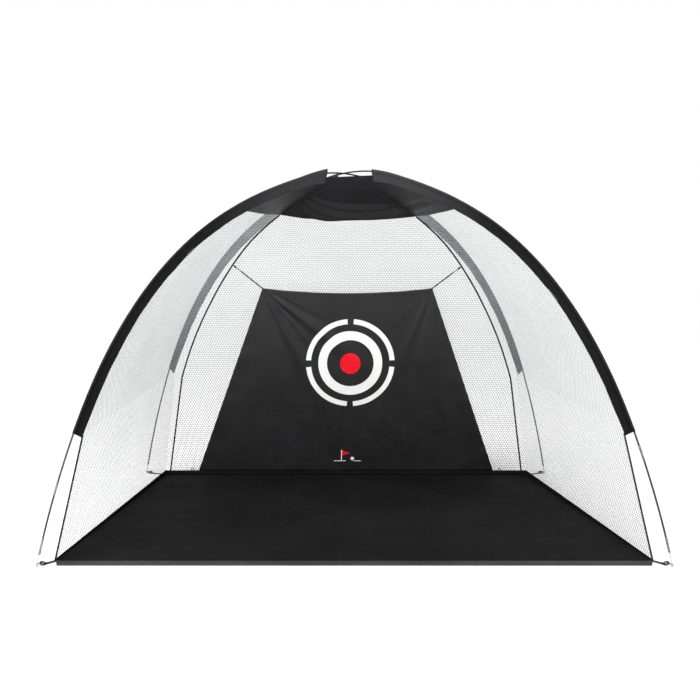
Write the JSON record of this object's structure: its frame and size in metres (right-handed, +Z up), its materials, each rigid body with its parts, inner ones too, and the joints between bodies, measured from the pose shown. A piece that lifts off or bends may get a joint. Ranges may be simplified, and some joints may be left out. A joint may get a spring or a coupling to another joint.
{
  "type": "golf chipping net",
  "caption": "Pop-up golf chipping net: crossed poles hold a netting tent with a cloth roof, floor sheet and a printed target cloth tied up at the back.",
  "frame": {"origin": "on the ground, midway between the four feet", "axes": "+X to the right seen from the open front, +Y from the open front to the back net, +Z up"},
  "size_m": [3.0155, 1.8207, 2.0255],
  "materials": {
    "pole_fibreglass": "satin black pultruded fibreglass",
    "ferrule_steel": "plated steel tube",
    "shock_cord": "elastic cord with woven cover",
    "tip_aluminium": "turned aluminium",
    "pin_steel": "zinc plated steel",
    "webbing": "black woven webbing",
    "sleeve_fabric": "black coated oxford cloth",
    "netting": "pale knotless polyester netting",
    "roof_fabric": "black coated oxford cloth",
    "seam_tape": "black binding tape",
    "floor_fabric": "black coated oxford cloth",
    "target_fabric": "black coated oxford cloth",
    "print_white": "printed white vinyl",
    "print_red": "printed red vinyl",
    "elastic": "black elastic cord",
    "hook_plastic": "moulded black nylon"
  },
  "bodies": {
    "tent": {"back_net": "netting", "floor_hem": "seam_tape", "floor_sheet": "floor_fabric", "foot_loops": "elastic", "front_left_sleeve": "sleeve_fabric", "front_left_strap": "webbing", "front_lip": "floor_fabric", "front_right_sleeve": "sleeve_fabric", "front_right_strap": "webbing", "left_front_tape": "seam_tape", "left_rear_tape": "seam_tape", "left_side_net": "netting", "pole_a_ferrules": "ferrule_steel", "pole_a_section_1": "pole_fibreglass", "pole_a_section_2": "pole_fibreglass", "pole_a_section_3": "pole_fibreglass", "pole_a_section_4": "pole_fibreglass", "pole_a_section_5": "pole_fibreglass", "pole_a_section_6": "pole_fibreglass", "pole_a_section_7": "pole_fibreglass", "pole_a_section_8": "pole_fibreglass", "pole_a_section_9": "pole_fibreglass", "pole_a_shock_cord": "shock_cord", "pole_b_ferrules": "ferrule_steel", "pole_b_section_1": "pole_fibreglass", "pole_b_section_2": "pole_fibreglass", "pole_b_section_3": "pole_fibreglass", "pole_b_section_4": "pole_fibreglass", "pole_b_section_5": "pole_fibreglass", "pole_b_section_6": "pole_fibreglass", "pole_b_section_7": "pole_fibreglass", "pole_b_section_8": "pole_fibreglass", "pole_b_section_9": "pole_fibreglass", "pole_b_shock_cord": "shock_cord", "pole_tips": "tip_aluminium", "rear_left_sleeve": "sleeve_fabric", "rear_left_strap": "webbing", "rear_right_sleeve": "sleeve_fabric", "rear_right_strap": "webbing", "right_front_tape": "seam_tape", "right_rear_tape": "seam_tape", "right_side_net": "netting", "roof_panel": "roof_fabric", "seam_loops": "webbing"},
    "target": {"left_tie_cord": "elastic", "right_tie_cord": "elastic", "target_bull": "print_red", "target_cloth": "target_fabric", "target_rings": "print_white", "tie_hooks": "hook_plastic"},
    "front_left_pin_body": {"front_left_pin": "pin_steel"},
    "front_left_ring_body": {"front_left_ring": "pin_steel"},
    "front_right_pin_body": {"front_right_pin": "pin_steel"},
    "front_right_ring_body": {"front_right_ring": "pin_steel"},
    "rear_left_pin_body": {"rear_left_pin": "pin_steel"},
    "rear_left_ring_body": {"rear_left_ring": "pin_steel"},
    "rear_right_pin_body": {"rear_right_pin": "pin_steel"},
    "rear_right_ring_body": {"rear_right_ring": "pin_steel"}
  },
  "joints": [
    {"name": "target_fold", "type": "hinge", "parent": "tent", "child": "target", "pos_m": [0, 0.842, 0.033], "axis": [1, 0, 0], "range_deg": [0, 70], "deforming": ["seam_loops"]},
    {"name": "front_left_pin_pull", "type": "slide", "parent": "tent", "child": "front_left_pin_body", "axis": [-0.1857, -0.1139, -0.976], "range_m": [0, 0.045], "deforming": ["front_left_strap"]},
    {"name": "front_right_pin_pull", "type": "slide", "parent": "tent", "child": "front_right_pin_body", "axis": [0.1857, -0.1139, -0.976], "range_m": [0, 0.045], "deforming": ["front_right_strap"]},
    {"name": "rear_left_pin_pull", "type": "slide", "parent": "tent", "child": "rear_left_pin_body", "axis": [-0.1857, 0.1139, -0.976], "range_m": [0, 0.045], "deforming": ["rear_left_strap"]},
    {"name": "rear_right_pin_pull", "type": "slide", "parent": "tent", "child": "rear_right_pin_body", "axis": [0.1857, 0.1139, -0.976], "range_m": [0, 0.045], "deforming": ["rear_right_strap"]},
    {"name": "front_left_ring_swing", "type": "hinge", "parent": "front_left_pin_body", "child": "front_left_ring_body", "pos_m": [-1.49949, -0.89969, 0.0085], "axis": [0.7606, -0.6493, 0], "range_deg": [0, 14]},
    {"name": "front_right_ring_swing", "type": "hinge", "parent": "front_right_pin_body", "child": "front_right_ring_body", "pos_m": [1.50151, -0.90092, 0.0085], "axis": [0.7555, 0.6552, 0], "range_deg": [0, 14]},
    {"name": "rear_left_ring_swing", "type": "hinge", "parent": "rear_left_pin_body", "child": "rear_left_ring_body", "pos_m": [-1.4365, 0.90092, 0.0085], "axis": [-0.3283, -0.9446, 0], "range_deg": [0, 14]},
    {"name": "rear_right_ring_swing", "type": "hinge", "parent": "rear_right_pin_body", "child": "rear_right_ring_body", "pos_m": [1.43449, 0.89969, 0.0085], "axis": [-0.3252, 0.9456, 0], "range_deg": [0, 14]}
  ]
}
